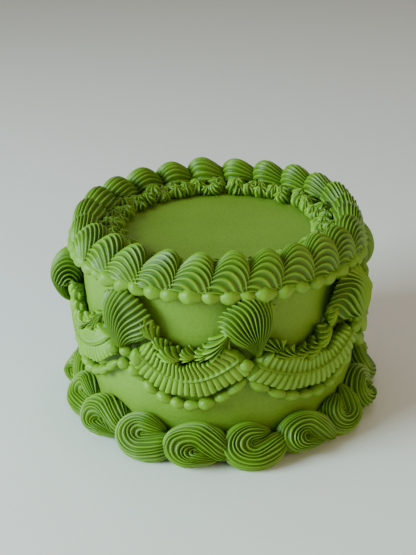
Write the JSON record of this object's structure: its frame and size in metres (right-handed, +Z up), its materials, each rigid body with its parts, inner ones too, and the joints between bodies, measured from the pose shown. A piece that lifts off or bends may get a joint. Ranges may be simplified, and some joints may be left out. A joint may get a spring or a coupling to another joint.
{
  "type": "lambeth cake",
  "caption": "Round iced cake with piped shell borders at top and foot, upright fan shells, and swags of star garland, double ruffle and beads round its side, all in one green buttercream",
  "frame": {"origin": "centre of the cake's flat base, on the surface it stands on", "axes": "+Z up along the cake's axis, -Y the side that faces the camera in the picture, +X to that view's right"},
  "size_m": [0.1876, 0.1863, 0.115],
  "materials": {
    "smooth_icing": "smooth satin green buttercream, spread flat, with a fine grain",
    "piped_icing": "piped satin green buttercream with crisp star-tip ridges"
  },
  "bodies": {
    "root": {"cake_body": "smooth_icing", "top_shell_border": "piped_icing", "inner_star_border": "piped_icing", "top_bead_border": "piped_icing", "fan_shell_1": "piped_icing", "fan_shell_2": "piped_icing", "fan_shell_3": "piped_icing", "fan_shell_4": "piped_icing", "fan_shell_5": "piped_icing", "fan_shell_6": "piped_icing", "fan_shell_7": "piped_icing", "star_garland_1": "piped_icing", "star_garland_2": "piped_icing", "star_garland_3": "piped_icing", "star_garland_4": "piped_icing", "star_garland_5": "piped_icing", "star_garland_6": "piped_icing", "star_garland_7": "piped_icing", "ruffle_swag_1": "piped_icing", "ruffle_swag_2": "piped_icing", "ruffle_swag_3": "piped_icing", "ruffle_swag_4": "piped_icing", "ruffle_swag_5": "piped_icing", "ruffle_swag_6": "piped_icing", "ruffle_swag_7": "piped_icing", "bead_swag_1": "piped_icing", "bead_swag_2": "piped_icing", "bead_swag_3": "piped_icing", "bead_swag_4": "piped_icing", "bead_swag_5": "piped_icing", "bead_swag_6": "piped_icing", "bead_swag_7": "piped_icing", "bottom_shell_border": "piped_icing"}
  },
  "joints": []
}
